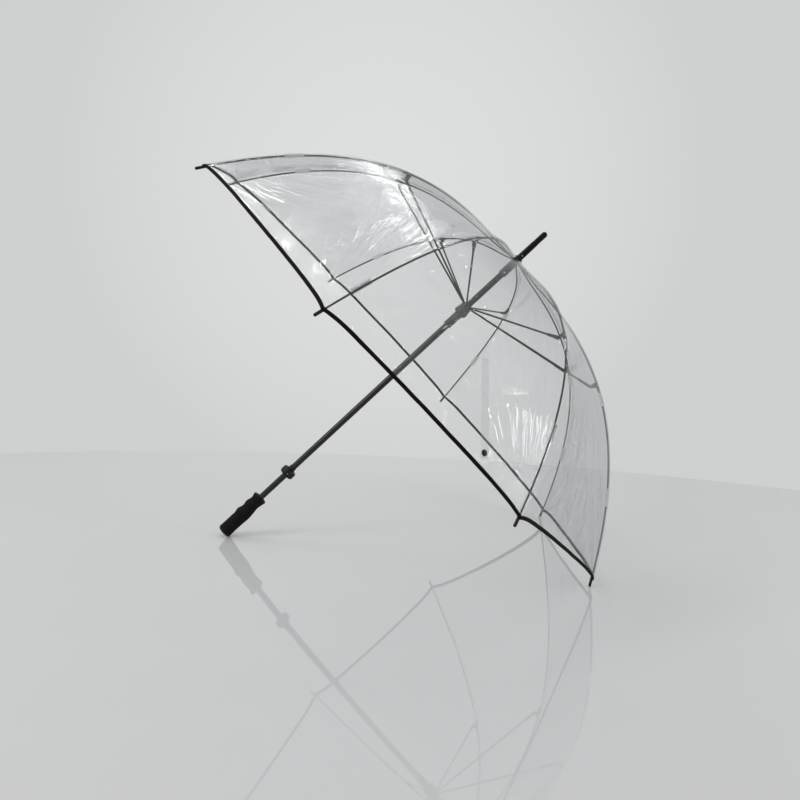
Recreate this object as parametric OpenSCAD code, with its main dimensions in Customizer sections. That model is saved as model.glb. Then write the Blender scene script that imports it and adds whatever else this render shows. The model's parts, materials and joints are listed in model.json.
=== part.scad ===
// Clear dome umbrella, open, lying on the end of its grip and on two neighbouring rib tips.
// Every piece is modelled about the shaft, with the shaft along +Z and the plane through
// the canopy's corners at z = 0. The module lay_down() then turns it into its resting place:
// +Z up, the floor at z = 0, the shaft leaning towards +X and the canopy's width along Y.

/* [Canopy] */
// Radius of the circle through the corners of the open canopy
hem_r = 625; // [600:1:650]
// Height of the dome above the plane of its corners
dome_h = 349; // [340:1:356]
// Power of the dome's profile curve: higher is flatter on top and steeper at the hem
dome_power = 2.84; // [2.7:0.02:3]
// Thickness of the clear film
film_t = 0.3; // [0.2:0.05:0.5]
// How far the hem curves in between two corners
scallop = 2; // [0:1:20]
// How far the film is pulled in between two ribs
film_sag = 5; // [0:1:8]
// Thickness of the bound hem
binding_t = 2.4; // [1.5:0.1:3]

/* [Frame] */
// Diameter of the ribs
rib_d = 3.8; // [3.4:0.1:4]
// Diameter of the stretchers
stretcher_d = 4; // [3.4:0.1:4.4]
// Pivot to pivot length that a stretcher shares with the inner part of its rib
arm = 319; // [316:1:320]
// Half the distance between the pivots of the open runner and of the top notch
half_gap = 74.5; // [72:0.5:76]
// Height of the top notch's pivots above the plane of the corners
notch_z = 355; // [354:0.5:356]
// Radius of the ring of pivots in the notch and in the runner
pivot_r = 11; // [11:0.1:11.4]
// Angle by which each rib folds down from the open canopy
fold_angle = 73.5; // [70:0.5:74]

/* [Shaft and fittings] */
// Outer diameter of the shaft
shaft_d = 14; // [13.6:0.1:14.2]
// Wall of the shaft tube
shaft_wall = 1.6; // [1.2:0.1:2]
// Height of the grip's upper end
grip_top_z = -443; // [-450:1:-440]
// Length of the grip
grip_len = 118; // [110:1:124]
// Radius of the ferrule's straight tip
ferrule_tip_r = 6.6; // [6:0.1:7.5]
// Length of the ferrule above its washer
ferrule_len = 84; // [76:1:90]

/* [Hidden] */

ribs = 8;
step = 360 / ribs;
gap = 0.3;              // clearance between pieces that don't touch
shaft_r = shaft_d / 2;
rib_r = rib_d / 2;
rod_sides = 8;

// ---- the rib's curve, in the plane of the shaft and the rib ----
blend_r = 100;          // the rib leaves the dome inside this radius, to reach its pivot
function dome_z(r) = dome_h * (1 - pow(r / hem_r, dome_power));
crown_rise = (notch_z - dome_z(pivot_r)) / pow(1 - pivot_r / blend_r, 2);
function rib_z(r) = dome_z(r) + crown_rise * pow(max(0, 1 - r / blend_r), 2);
function slope(r) = (rib_z(r + 0.5) - rib_z(r - 0.5));
function tangent(r) = [1, slope(r)] / norm([1, slope(r)]);
function normal(r) = [-tangent(r)[1], tangent(r)[0]];
function rib_at(r, off = 0) = [r, rib_z(r)] + off * normal(r);

// ---- the linkage: notch pivot, joint pivot and runner pivot make an isosceles triangle ----
joint_r = pivot_r + sqrt(arm * arm - half_gap * half_gap);
joint_z = notch_z - half_gap;
runner_z = notch_z - 2 * half_gap;
open_angle = asin(half_gap / arm);
notch_pivot = [pivot_r, notch_z];
joint_pivot = [joint_r, joint_z];
runner_pivot = [pivot_r, runner_z];
// The saddle stands where the rib is square above the joint pivot, found by three steps
function foot(r, n) = n == 0 ? r
    : foot(r + ([joint_r, joint_z] - rib_at(r)) * tangent(r), n - 1);
saddle_r = foot(joint_r, 3);
flex_r = saddle_r + 11;
flex = rib_at(flex_r);

// ---- the rib tip ----
tip_r = 3;
tip_back = 10;          // how far a tip reaches back from the corner of the hem
tip_front = 14.5;       // and how far past it
corner = [hem_r, rib_z(hem_r)];
tip_dir = tangent(hem_r - 1);
tip_ball = corner + (tip_front - tip_r) * tip_dir;

// ---- the resting place ----
grip_end_z = grip_top_z - grip_len;
grip_rim_r = 4;                     // rounding of the grip's lower rim
grip_end_r = 16.5;
rim = [grip_end_r - grip_rim_r, grip_end_z + grip_rim_r];
reach_z = tip_ball[1] - rim[1];
reach_x = tip_ball[0] * cos(step / 2) - rim[0];
lean = asin((tip_r - grip_rim_r) / norm([reach_z, reach_x])) + atan2(reach_x, reach_z);
floor_lift = tip_ball[0] * cos(step / 2) * cos(lean) - tip_ball[1] * sin(lean) + tip_r;
// How far the leaning umbrella reaches towards +X and -X, for a centred origin
function over_x(r) = r * cos(step / 2) * sin(lean) + (rib_z(r) + film_off) * cos(lean);
film_off = rib_r + 1.9;             // the film's inner face stands this far off the rib's middle
far_x = max([for (r = [400:5:600]) over_x(r)]) + 1.6;
near_x = -tip_ball[0] * cos(step / 2) * sin(lean) + tip_ball[1] * cos(lean) - tip_r;

module lay_down() {
    translate([-(far_x + near_x) / 2, 0, floor_lift])
        rotate([0, 90 - lean, 0])
            children();
}

// Rib k stands at this angle round the shaft; ribs 1 and 8 rest on the floor
function azimuth(k) = (k - 0.5) * step;
module at_rib(k) {
    lay_down()
        rotate([0, 0, azimuth(k)])
            children();
}

// Puts a flat outline, drawn in the plane of a rib, to its place with the given thickness
module in_plane(thick, mid = 0) {
    translate([0, mid + thick / 2, 0])
        rotate([90, 0, 0])
            linear_extrude(thick)
                children();
}

// A cylinder across the rib plane
module cross_pin(p, r, length, mid = 0) {
    translate([p[0], mid + length / 2, p[1]])
        rotate([90, 0, 0])
            cylinder(r = r, h = length, $fn = 32);
}

// A straight round rod between two points of the rib plane
module rod(p, q, r) {
    d = q - p;
    translate([p[0], 0, p[1]])
        rotate([0, atan2(d[0], d[1]), 0])
            cylinder(r = r, h = norm(d), $fn = 32);
}

// A round rod along the rib's curve from radius r0 to r1
module rib_rod(r0, r1, rings) {
    n = rod_sides;
    points = [for (i = [0:rings]) let (r = r0 + (r1 - r0) * i / rings, c = rib_at(r), m = normal(r))
        for (j = [0:n - 1]) let (a = 360 * j / n)
            [c[0] + rib_r * cos(a) * m[0], rib_r * sin(a), c[1] + rib_r * cos(a) * m[1]]];
    sides = [for (i = [0:rings - 1]) for (j = [0:n - 1])
        [i * n + j, i * n + (j + 1) % n, (i + 1) * n + (j + 1) % n, (i + 1) * n + j]];
    ends = [[for (j = [n - 1:-1:0]) j], [for (j = [0:n - 1]) rings * n + j]];
    polyhedron(points, concat(sides, ends), convexity = 4);
}

// ---- pieces along the shaft ----
notch_pin_z = 318;
spring_slot = [4.2, 26];            // width and length of a slot in the shaft
top_spring_z = runner_z - 66;
closed_runner_z = notch_z - 2 * arm * sin(open_angle + fold_angle);
bottom_spring_z = closed_runner_z + 10;
shaft_low_z = grip_end_z + 10;
shaft_top_z = notch_z + 4.5;
shaft_bore_r = shaft_r - shaft_wall;

module shaft() {
    color("#1b1b1c")
        lay_down()
            difference() {
                translate([0, 0, shaft_low_z])
                    cylinder(r = shaft_r, h = shaft_top_z - shaft_low_z, $fn = 64);
                translate([0, 0, shaft_low_z - 1])
                    cylinder(r = shaft_bore_r, h = shaft_top_z - shaft_low_z + 2, $fn = 64);
                spring_slot_at(top_spring_z, -90);
                spring_slot_at(bottom_spring_z, 90);
                translate([0, 0, notch_pin_z])
                    rotate([90, 0, 0])
                        cylinder(r = 1.3, h = 20, $fn = 32);
                translate([0, 0, stop_pin_z])
                    rotate([90, 0, 0])
                        cylinder(r = 1.3, h = 20, $fn = 32);
            }
}

module spring_slot_at(z, turn) {
    rotate([0, 0, turn])
        translate([shaft_bore_r - 1, -spring_slot[0] / 2, z - spring_slot[1] / 2])
            cube([shaft_wall + 4, spring_slot[0], spring_slot[1]]);
}

// A leaf spring: a strip inside the shaft with a hump that stands out through the slot.
// The hump's steep edge faces up, or down when it is mirrored
module leaf_spring(z, turn, up) {
    strip = 1;
    hump = 3.2;
    inner = shaft_bore_r - 0.4 - strip;
    color("#b9bcc0")
        lay_down()
            rotate([0, 0, turn])
                translate([0, 0, z])
                    mirror([0, 0, up ? 0 : 1])
                        in_plane(spring_slot[0] - 0.8)
                            polygon([[inner - 3.6, -12], [inner - 2.6, -12],
                                     [inner + strip, -4], [shaft_r + hump - 0.6, 2.2],
                                     [shaft_r + hump, 3], [shaft_r + hump, 3.8],
                                     [inner + strip, 4.2], [inner + strip, 12], [inner, 12],
                                     [inner, -3.6]]);
}
module top_spring() {
    leaf_spring(top_spring_z, -90, true);
}
module bottom_spring() {
    leaf_spring(bottom_spring_z, 90, false);
}

// Slots in a slotted ring for the flattened ends of ribs or stretchers
slot_w = 3;
blade_t = 2.4;
eye_r = 1.6;
wire_r = 0.65;
wire_bore_r = 0.95;
module ring_slots(z_low, z_high, from_r) {
    for (k = [1:ribs])
        rotate([0, 0, azimuth(k)])
            translate([from_r, -slot_w / 2, z_low])
                cube([12, slot_w, z_high - z_low]);
}
module wire_channel(z) {
    translate([0, 0, z])
        rotate_extrude($fn = 96)
            translate([pivot_r - wire_r - 0.1, -wire_r - 0.1])
                square([4, 2 * wire_r + 0.2]);
}
module wire_ring(z) {
    lay_down()
        translate([0, 0, z])
            rotate_extrude($fn = 96)
                translate([pivot_r, 0])
                    circle(r = wire_r, $fn = 24);
}

notch_crown_r = 13;
notch_skirt_r = 9.1;
module top_notch() {
    color("#2a2a2b")
        lay_down()
            difference() {
                rotate_extrude($fn = 96)
                    polygon([[shaft_r + 0.1, 311], [notch_skirt_r - 0.5, 311],
                             [notch_skirt_r, 311.5], [notch_skirt_r, notch_z - 4],
                             [notch_crown_r, notch_z - 3.4], [notch_crown_r, notch_z + 2.8],
                             [notch_crown_r - 1, notch_z + 3.4], [shaft_r + 0.1, notch_z + 3.4]]);
                ring_slots(notch_z - 6, notch_z + 2.2, pivot_r - 1.9);
                wire_channel(notch_z);
                translate([0, 0, notch_pin_z])
                    rotate([90, 0, 0])
                        cylinder(r = 1.3, h = 20, $fn = 32);
            }
}
module notch_wire() {
    color("#8d9094")
        wire_ring(notch_z);
}
// A rivet through one wall of a fitting and of the shaft, on the side at -Y
module side_rivet(z, face_r) {
    head_r = 2;
    lay_down()
        translate([0, 0, z])
            rotate([90, 0, 0]) {
                translate([0, 0, shaft_bore_r - 0.6])
                    cylinder(r = 1.25, h = face_r + 0.2 - shaft_bore_r + 0.6, $fn = 32);
                translate([0, 0, face_r + 0.1])
                    cylinder(r1 = head_r, r2 = 1.2, h = 0.8, $fn = 32);
            }
}
module notch_pin() {
    color("#c9ccd0")
        side_rivet(notch_pin_z, notch_skirt_r);
}

// The stop on which the closed runner rests: a rounded disc with a neck above it
runner_len = 62;                    // from the runner's pivots down to its lip
stop_top_z = closed_runner_z - runner_len - 1;
stop_t = 18;
stop_r = 17;
neck_r = 8.1;
neck_len = 8.5;
stop_pin_z = stop_top_z - stop_t / 2;
module stop_disc() {
    round_r = 5;
    color("#222223")
        lay_down()
            difference() {
                rotate_extrude($fn = 96)
                    difference() {
                        union() {
                            translate([0, stop_top_z - stop_t])
                                square([stop_r - round_r, stop_t]);
                            translate([0, stop_top_z - stop_t + round_r])
                                square([stop_r, stop_t - 2 * round_r]);
                            translate([stop_r - round_r, stop_top_z - round_r])
                                circle(r = round_r, $fn = 48);
                            translate([stop_r - round_r, stop_top_z - stop_t + round_r])
                                circle(r = round_r, $fn = 48);
                            translate([0, stop_top_z])
                                square([neck_r, neck_len]);
                        }
                        translate([-20, stop_top_z - 40])
                            square([20 + shaft_r + 0.1, 80]);
                    }
                translate([0, 0, stop_pin_z])
                    rotate([90, 0, 0])
                        cylinder(r = 1.3, h = 20, $fn = 32);
                translate([0, -stop_r - 2, stop_pin_z])
                    rotate([-90, 0, 0])
                        cylinder(r = 2.6, h = 4, $fn = 32);
            }
}
module stop_pin() {
    color("#8d9094")
        side_rivet(stop_pin_z, stop_r - 2);
}

// ---- the runner ----
sleeve_r = 9.5;
flange_r = 15.5;
crown_r = 13.6;
module runner() {
    z = runner_z;
    low = z - runner_len;
    color("#2e2e30")
        lay_down()
            difference() {
                rotate_extrude($fn = 96)
                    polygon([[shaft_r + 0.25, low + neck_len + 1.5], [neck_r + 0.3, low + neck_len + 0.9],
                             [neck_r + 0.3, low], [sleeve_r + 0.8, low], [sleeve_r + 1.2, low + 0.6],
                             [sleeve_r + 1.2, low + 2.4], [sleeve_r, low + 4], [sleeve_r, z - 26],
                             [flange_r - 1.5, z - 24.5], [flange_r, z - 23], [flange_r, z - 13],
                             [flange_r - 1.5, z - 11.5], [crown_r, z - 11], [crown_r, z + 2.4],
                             [crown_r - 1, z + 3.2], [shaft_r + 0.25, z + 3.2]]);
                ring_slots(z - 2.3, z + 6, pivot_r - 1.9);
                wire_channel(z);
            }
}
module runner_wire() {
    color("#8d9094")
        wire_ring(runner_z);
}

// ---- ferrule and washer ----
washer_t = 1.3;
washer_z = notch_z + 6.9;
ferrule_z = washer_z + washer_t + 0.1;
ferrule_rim_r = 8.6;
ferrule_low_r = 7.3;
stud_r = shaft_bore_r - 0.1;
module crown_washer() {
    color("#1d1d1e")
        lay_down()
            difference() {
                translate([0, 0, washer_z])
                    cylinder(r1 = 11.5, r2 = 10.5, h = washer_t, $fn = 64);
                translate([0, 0, washer_z - 1])
                    cylinder(r = stud_r + 0.1, h = washer_t + 2, $fn = 64);
            }
}
module ferrule() {
    top = ferrule_z + ferrule_len;
    color("#141415")
        lay_down()
            difference() {
                union() {
                    rotate_extrude($fn = 96)
                        polygon([[0, ferrule_z - 26], [stud_r, ferrule_z - 26], [stud_r, ferrule_z],
                                 [ferrule_rim_r, ferrule_z], [ferrule_rim_r, ferrule_z + 2],
                                 [ferrule_low_r, ferrule_z + 4],
                                 [ferrule_tip_r + 0.3, top - 34], [ferrule_tip_r, top - 32],
                                 [ferrule_tip_r, top - ferrule_tip_r], [0, top - ferrule_tip_r]]);
                    translate([0, 0, top - ferrule_tip_r])
                        sphere(r = ferrule_tip_r, $fn = 48);
                }
                translate([0, 0, ferrule_z + 9])
                    rotate([90, 0, 0])
                        cylinder(r = 1.3, h = 20, center = true, $fn = 32);
            }
}
module ferrule_pin() {
    pin_half = 7.1;
    color("#c9ccd0")
        lay_down()
            translate([0, 0, ferrule_z + 9])
                rotate([90, 0, 0])
                    cylinder(r = 1.25, h = 2 * pin_half, center = true, $fn = 32);
}

// ---- grip: a loft whose front has finger waves and whose back is a shallow hollow ----
grip_sides = 24;
grip_rings = 30;
waves = 4;
grip_belly = 16.2;
function ease(t) = let (u = min(1, max(0, t))) u * u * (3 - 2 * u);
function grip_radius(t, a) =
    let (fingers = max(0, -cos(a)),
         thumb = max(0, cos(a)),
         wave = 1.2 * cos(360 * waves * t) * fingers * ease((t - 0.25) / 0.25),
         bulge = 1.1 * exp(-pow((t - 0.5) / 0.12, 2)),
         hollow = -2.6 * thumb * exp(-pow((t - 0.8) / 0.13, 2)),
         foot = (grip_end_r - grip_belly) * exp(-t / 0.06),
         head = 1.2 * exp(-(1 - t) / 0.03))
    grip_belly + wave + bulge + hollow + foot + head;
module grip() {
    n = grip_sides;
    body_low = grip_end_z + 6;
    body_len = grip_len - 6;
    points = [for (i = [0:grip_rings]) let (t = i / grip_rings)
        for (j = [0:n - 1]) let (a = 360 * j / n, r = grip_radius(t, a))
            [r * cos(a), r * sin(a), body_low + body_len * t]];
    sides = [for (i = [0:grip_rings - 1]) for (j = [0:n - 1])
        [i * n + j, (i + 1) * n + j, (i + 1) * n + (j + 1) % n, i * n + (j + 1) % n]];
    ends = [[for (j = [0:n - 1]) j], [for (j = [n - 1:-1:0]) grip_rings * n + j]];
    color("#2b2b2d")
        lay_down()
            difference() {
                polyhedron(points, concat(sides, ends), convexity = 4);
                translate([0, 0, body_low - 1])
                    cylinder(r = shaft_r + 0.05, h = body_len + 2, $fn = 64);
            }
}
// The domed end cap under the grip, with a stub that reaches into the shaft
module grip_plug() {
    cap_h = 5.9;
    stub_h = 18;
    z = grip_end_z;
    color("#232324")
        lay_down()
            union() {
                rotate_extrude($fn = 96)
                    union() {
                        translate([0, z])
                            square([grip_end_r - grip_rim_r, cap_h]);
                        translate([0, z + grip_rim_r])
                            square([grip_end_r, cap_h - grip_rim_r]);
                        translate([0, z + 1])
                            square([shaft_bore_r - 0.1, stub_h]);
                        intersection() {
                            translate([grip_end_r - grip_rim_r, z + grip_rim_r])
                                circle(r = grip_rim_r, $fn = 48);
                            translate([0, z - 1])
                                square([grip_end_r + 1, cap_h + 1]);
                        }
                    }
            }
}

// ---- ribs ----
module inner_rib(k) {
    blade_end = [pivot_r + 13, rib_z(pivot_r + 13)];
    sleeve_len = 14;
    sleeve_back = saddle_r - sleeve_len / 2;
    color("#1a1a1b")
        at_rib(k)
            difference() {
                union() {
                    in_plane(blade_t)
                        hull() {
                            translate(notch_pivot)
                                circle(r = eye_r, $fn = 32);
                            translate(blade_end)
                                circle(r = eye_r, $fn = 32);
                        }
                    rib_rod(pivot_r + 11, saddle_r + 2, 18);
                    rod(rib_at(sleeve_back), rib_at(saddle_r + 5.5), 2.7);
                    in_plane(2.6)
                        hull() {
                            translate(joint_pivot)
                                circle(r = 3.2, $fn = 32);
                            translate(rib_at(saddle_r - 5, -1.5))
                                circle(r = 1.2, $fn = 32);
                            translate(rib_at(saddle_r + 3.5, -1.5))
                                circle(r = 1.2, $fn = 32);
                        }
                    cross_pin(joint_pivot, 1.2, 8);
                    for (side = [-1, 1])
                        in_plane(0.8, side * 2.5)
                            hull() {
                                translate(flex)
                                    circle(r = 2.6, $fn = 32);
                                translate(rib_at(saddle_r + 3))
                                    circle(r = 2.6, $fn = 32);
                            }
                    cross_pin(flex, 0.8, 5.6);
                }
                cross_pin(notch_pivot, wire_bore_r, 6);
            }
}
module outer_rib(k) {
    color("#1a1a1b")
        at_rib(k)
            difference() {
                union() {
                    rib_rod(flex_r, hem_r - 1.2, 16);
                    cross_pin(flex, rib_r, 2 * rib_r);
                }
                cross_pin(flex, 0.9, 6);
            }
}
module rib_tip(k) {
    back = corner - tip_back * tip_dir;
    len = tip_back + tip_front - tip_r;
    dome = [for (a = [0:15:75]) [tip_r * cos(a), len + tip_r * sin(a)]];
    color("#0f0f10")
        at_rib(k)
            translate([back[0], 0, back[1]])
                rotate([0, atan2(tip_dir[0], tip_dir[1]), 0])
                    difference() {
                        rotate_extrude($fn = 48)
                            polygon(concat([[0, 0], [tip_r, 0]], dome, [[0, len + tip_r]]));
                        translate([0, 0, -1])
                            cylinder(r = rib_r + 0.25, h = tip_back + 1, $fn = 48);
                    }
}
module stretcher(k) {
    out = joint_pivot - runner_pivot;
    d = out / norm(out);
    color("#1a1a1b")
        at_rib(k)
            difference() {
                union() {
                    in_plane(blade_t)
                        hull() {
                            translate(runner_pivot)
                                circle(r = eye_r, $fn = 32);
                            translate(runner_pivot + 13 * d)
                                circle(r = eye_r, $fn = 32);
                        }
                    rod(runner_pivot + 11 * d, joint_pivot - 20 * d, stretcher_d / 2);
                    rod(joint_pivot - 30 * d, joint_pivot - 10 * d, 3);
                    for (side = [-1, 1])
                        in_plane(1.5, side * 2.35)
                            hull() {
                                translate(joint_pivot)
                                    circle(r = 2.9, $fn = 32);
                                translate(joint_pivot - 13 * d)
                                    circle(r = 2.4, $fn = 32);
                            }
                }
                cross_pin(joint_pivot, 1.27, 10);
                cross_pin(runner_pivot, wire_bore_r, 6);
            }
}

// ---- canopy: each panel is the film that one rib carries, cut at the middle of two gores ----
// The film is straight between two ribs, but for a small sag, and its hem curves in.
film_rings = 17;
film_from_r = 8.2;
share = [-1, -0.6, -0.3, 0, 0.3, 0.6, 1];
crown_lift = 3;
function film_side(r) = 0.5 - 0.33 / r;
function film_r(i, f) =
    let (end = hem_r - scallop * 4 * f * (1 - f))
    i == film_rings ? end
    : i == film_rings - 1 ? end - 5
    : film_from_r + (end - 6 - film_from_r) * pow(i / (film_rings - 2), 0.9);
function film_out(i) = i < film_rings - 1 ? film_t : binding_t;
function film_point(i, s, outer) =
    let (f0 = abs(s) * film_side(max(film_r(i, abs(s) * 0.5), 1)),
         r = film_r(i, f0),
         sag = film_sag * 4 * f0 * (1 - f0) * sin(180 * r / hem_r),
         lift = crown_lift * pow(max(0, 1 - r / 60), 2),
         off = film_off - sag + (outer ? film_out(i) : 0),
         c = rib_at(r, off) + [0, lift])
    [c[0] * (1 - f0 + f0 * cos(step)), sign(s) * c[0] * f0 * sin(step), c[1]];
module canopy_panel(k) {
    m = len(share);
    rows = film_rings + 1;
    layer = rows * m;
    points = [for (outer = [false, true]) for (i = [0:film_rings]) for (s = share)
        film_point(i, s, outer)];
    function id(side, i, j) = side * layer + i * m + j;
    inside = [for (i = [0:film_rings - 1]) for (j = [0:m - 2])
        each [[id(0, i, j), id(0, i, j + 1), id(0, i + 1, j + 1)],
              [id(0, i, j), id(0, i + 1, j + 1), id(0, i + 1, j)]]];
    outside = [for (i = [0:film_rings - 1]) for (j = [0:m - 2])
        each [[id(1, i, j), id(1, i + 1, j + 1), id(1, i, j + 1)],
              [id(1, i, j), id(1, i + 1, j), id(1, i + 1, j + 1)]]];
    across = [for (j = [0:m - 2])
        each [[id(0, 0, j), id(1, 0, j), id(1, 0, j + 1)],
              [id(0, 0, j), id(1, 0, j + 1), id(0, 0, j + 1)],
              [id(0, film_rings, j), id(1, film_rings, j + 1), id(1, film_rings, j)],
              [id(0, film_rings, j), id(0, film_rings, j + 1), id(1, film_rings, j + 1)]]];
    along = [for (i = [0:film_rings - 1])
        each [[id(0, i, 0), id(0, i + 1, 0), id(1, i + 1, 0)],
              [id(0, i, 0), id(1, i + 1, 0), id(1, i, 0)],
              [id(0, i, m - 1), id(1, i + 1, m - 1), id(0, i + 1, m - 1)],
              [id(0, i, m - 1), id(1, i, m - 1), id(1, i + 1, m - 1)]]];
    color("#dfe6e8", 0.35)
        at_rib(k)
            polyhedron(points, concat(inside, outside, across, along), convexity = 6);
}

// ---- closure strap and its press stud, on the film between rib 7 and rib 6 ----
// The strap hangs straight down the outside of the film from where it is welded on. Its places
// are given as the share of the way to rib 6 and as the radius measured along the ribs.
strap_w = 16;
strap_t = 0.8;
strap_top = [0.455, 519];
strap_low = [0.232, 608];
strap_across = [0.00196, 0.334];    // one millimetre across the strap
stud_at = [0.245, 604];
function on_film(p, off) =
    let (f = p[0], r = p[1],
         sag = film_sag * 4 * f * (1 - f) * sin(180 * r / hem_r),
         c = rib_at(r, film_off + film_t + gap - sag + off))
    [c[0] * (1 - f + f * cos(step)), -c[0] * f * sin(step), c[1]];
module closure_strap() {
    rings = 16;
    corners = [[0, -1], [0, 1], [strap_t, 1], [strap_t, -1]];
    points = [for (i = [0:rings]) for (c = corners)
        let (middle = strap_top + (strap_low - strap_top) * i / rings)
            on_film(middle + c[1] * strap_w / 2 * strap_across, c[0])];
    sides = [for (i = [0:rings - 1]) for (j = [0:3])
        [i * 4 + j, (i + 1) * 4 + j, (i + 1) * 4 + (j + 1) % 4, i * 4 + (j + 1) % 4]];
    ends = [[0, 1, 2, 3], [for (j = [3:-1:0]) rings * 4 + j]];
    color("#e8eef0", 0.5)
        at_rib(7)
            polyhedron(points, concat(sides, ends), convexity = 2);
}
module press_stud() {
    seat = on_film(stud_at, strap_t + 0.15);
    out = normal(stud_at[1]);
    color("#0c0c0d")
        at_rib(7)
            translate(seat)
                rotate([0, 0, -step / 2])
                    rotate([0, atan2(out[0], out[1]), 0])
                        union() {
                            cylinder(r = 6, h = 1.2, $fn = 48);
                            cylinder(r = 3.6, h = 2.2, $fn = 48);
                        }
}

shaft();
grip();
grip_plug();
ferrule();
ferrule_pin();
top_notch();
notch_wire();
notch_pin();
crown_washer();
stop_disc();
stop_pin();
top_spring();
bottom_spring();
runner();
runner_wire();
closure_strap();
press_stud();
for (k = [1:ribs]) {
    inner_rib(k);
    outer_rib(k);
    stretcher(k);
    rib_tip(k);
    canopy_panel(k);
}
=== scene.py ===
import json
import math

import bmesh
import bpy
from bpy.props import FloatProperty, FloatVectorProperty, IntProperty, PointerProperty
from mathutils import Matrix, Vector, noise


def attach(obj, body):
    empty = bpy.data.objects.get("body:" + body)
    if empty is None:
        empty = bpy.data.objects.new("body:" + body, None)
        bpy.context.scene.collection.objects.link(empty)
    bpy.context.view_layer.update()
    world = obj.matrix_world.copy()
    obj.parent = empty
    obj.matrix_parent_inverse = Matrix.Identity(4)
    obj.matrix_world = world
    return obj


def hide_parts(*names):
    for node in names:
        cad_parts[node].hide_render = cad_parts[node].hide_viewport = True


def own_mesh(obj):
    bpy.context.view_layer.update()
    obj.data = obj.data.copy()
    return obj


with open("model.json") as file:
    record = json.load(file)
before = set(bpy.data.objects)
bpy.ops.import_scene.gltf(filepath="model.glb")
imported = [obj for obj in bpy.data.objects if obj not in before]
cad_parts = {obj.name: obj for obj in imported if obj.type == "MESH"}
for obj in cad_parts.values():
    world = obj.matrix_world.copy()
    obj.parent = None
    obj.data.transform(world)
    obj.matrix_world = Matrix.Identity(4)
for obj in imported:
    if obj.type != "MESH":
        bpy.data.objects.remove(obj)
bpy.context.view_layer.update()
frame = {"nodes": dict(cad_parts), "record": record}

bl_info = {
    "name": "Clear Dome Umbrella",
    "version": (1, 0, 0),
    "blender": (4, 5, 0),
    "location": "View3D > Sidebar > Umbrella",
    "description": "Builds the film, hem, grip, ribs and finishes of a clear dome umbrella",
    "category": "Object",
}

# Everything below is in metres. Pieces are first made about the shaft, with the shaft along +Z
# and the plane through the canopy's corners at z = 0, and LIE puts them to rest on the floor.
RIBS = 8
STEP = math.tau / RIBS
GRIP_END_Z = -0.561
# Where the two tabs of a rib hold the film, as shares of the hem's radius. The outer tab of
# one rib sits nearer the hem.
TAB_PLACES = (0.57, 0.83)
LOW_TAB_RIB, LOW_TAB_PLACE = 6, 0.92
MOUNTS = {mount["name"]: mount for mount in frame["record"]["mounts"]}
SHAFT_DIR = Vector(MOUNTS["ferrule_tip"]["axis"])
SIDEWAYS = Vector((0, 1, 0))
ORIGIN = Vector(MOUNTS["grip_end"]["pos_m"]) - GRIP_END_Z * SHAFT_DIR
LIE = Matrix.Translation(ORIGIN) @ Matrix(
    (SIDEWAYS.cross(SHAFT_DIR), SIDEWAYS, SHAFT_DIR)).transposed().to_4x4()


def at_rib(k):
    """The turn and the place of rib k, counted from 1."""
    return LIE @ Matrix.Rotation((k - 0.5) * STEP, 4, "Z")


def linear(code):
    """An sRGB hex colour as linear red, green and blue."""
    parts = [int(code[i:i + 2], 16) / 255 for i in (1, 3, 5)]
    return tuple(p / 12.92 if p <= 0.04045 else ((p + 0.055) / 1.055) ** 2.4 for p in parts)


def smooth_step(low, high, x):
    t = min(1.0, max(0.0, (x - low) / (high - low)))
    return t * t * (3 - 2 * t)


def boxed(x, power):
    """x from -1 to 1, pushed towards its ends: it turns a round section into a rounded box."""
    return math.copysign(abs(x) ** power, x)


def hump(x, middle, width):
    return math.exp(-((x - middle) / width) ** 2)


# ---------------------------------------------------------------- sizes and colours

def size(name, description, default, high=2.0):
    return FloatProperty(name=name, description=description, default=default, min=0.0, max=high,
                         precision=4, unit="LENGTH")


def share(name, description, default):
    return FloatProperty(name=name, description=description, default=default, min=0.0, max=10.0)


def colour(name, description, code):
    return FloatVectorProperty(name=name, description=description, default=linear(code),
                               min=0.0, max=1.0, subtype="COLOR")


class CanopySizes(bpy.types.PropertyGroup):
    hem_radius: size("Hem radius", "From the shaft to a corner of the hem", 0.625)
    dome_height: size("Dome height", "Of the dome above the plane of its corners", 0.349)
    dome_power: share("Dome power", "Higher is flatter on top and steeper at the hem", 2.84)
    scallop: size("Scallop", "How far the hem curves in between two corners", 0.002)
    corner_pull: size("Corner pull", "How far a corner stands out from the hem's even curve", 0.0038)
    film_sag: size("Film sag", "How far the film is pulled in between two ribs", 0.005)
    film_gap: size("Film gap", "From the middle of a rib to the film", 0.00395)
    film_from: size("Film start", "Radius of the film's hole at the crown", 0.0082)
    crown_lift: size("Crown lift", "How far the film rises over the notch", 0.003)
    crease: size("Crease", "Height of the film's creases", 0.0011)
    tape_width: size("Tape width", "Of the tape that binds the hem", 0.0042)
    tape_thickness: size("Tape thickness", "Of the folded tape", 0.0024)
    strap_width: size("Strap width", "Of the closure strap", 0.016)
    strap_thickness: size("Strap thickness", "Of the closure strap", 0.0008)
    tab_width: size("Tab width", "Of the clear tabs that hold the film to the ribs", 0.012)
    tab_length: size("Tab length", "Along the rib", 0.030)


class FrameSizes(bpy.types.PropertyGroup):
    pivot_radius: size("Pivot radius", "Of the ring of pivots in the notch and the runner", 0.011)
    notch_height: size("Notch height", "Of the notch's pivots above the corners", 0.355)
    blend_radius: size("Blend radius", "The ribs leave the dome inside this radius", 0.100)
    flex_radius: size("Flex radius", "Where a rib bends beside its saddle", 0.33839)
    rib_radius: size("Rib radius", "Half a rib's thickness", 0.0019)


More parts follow.
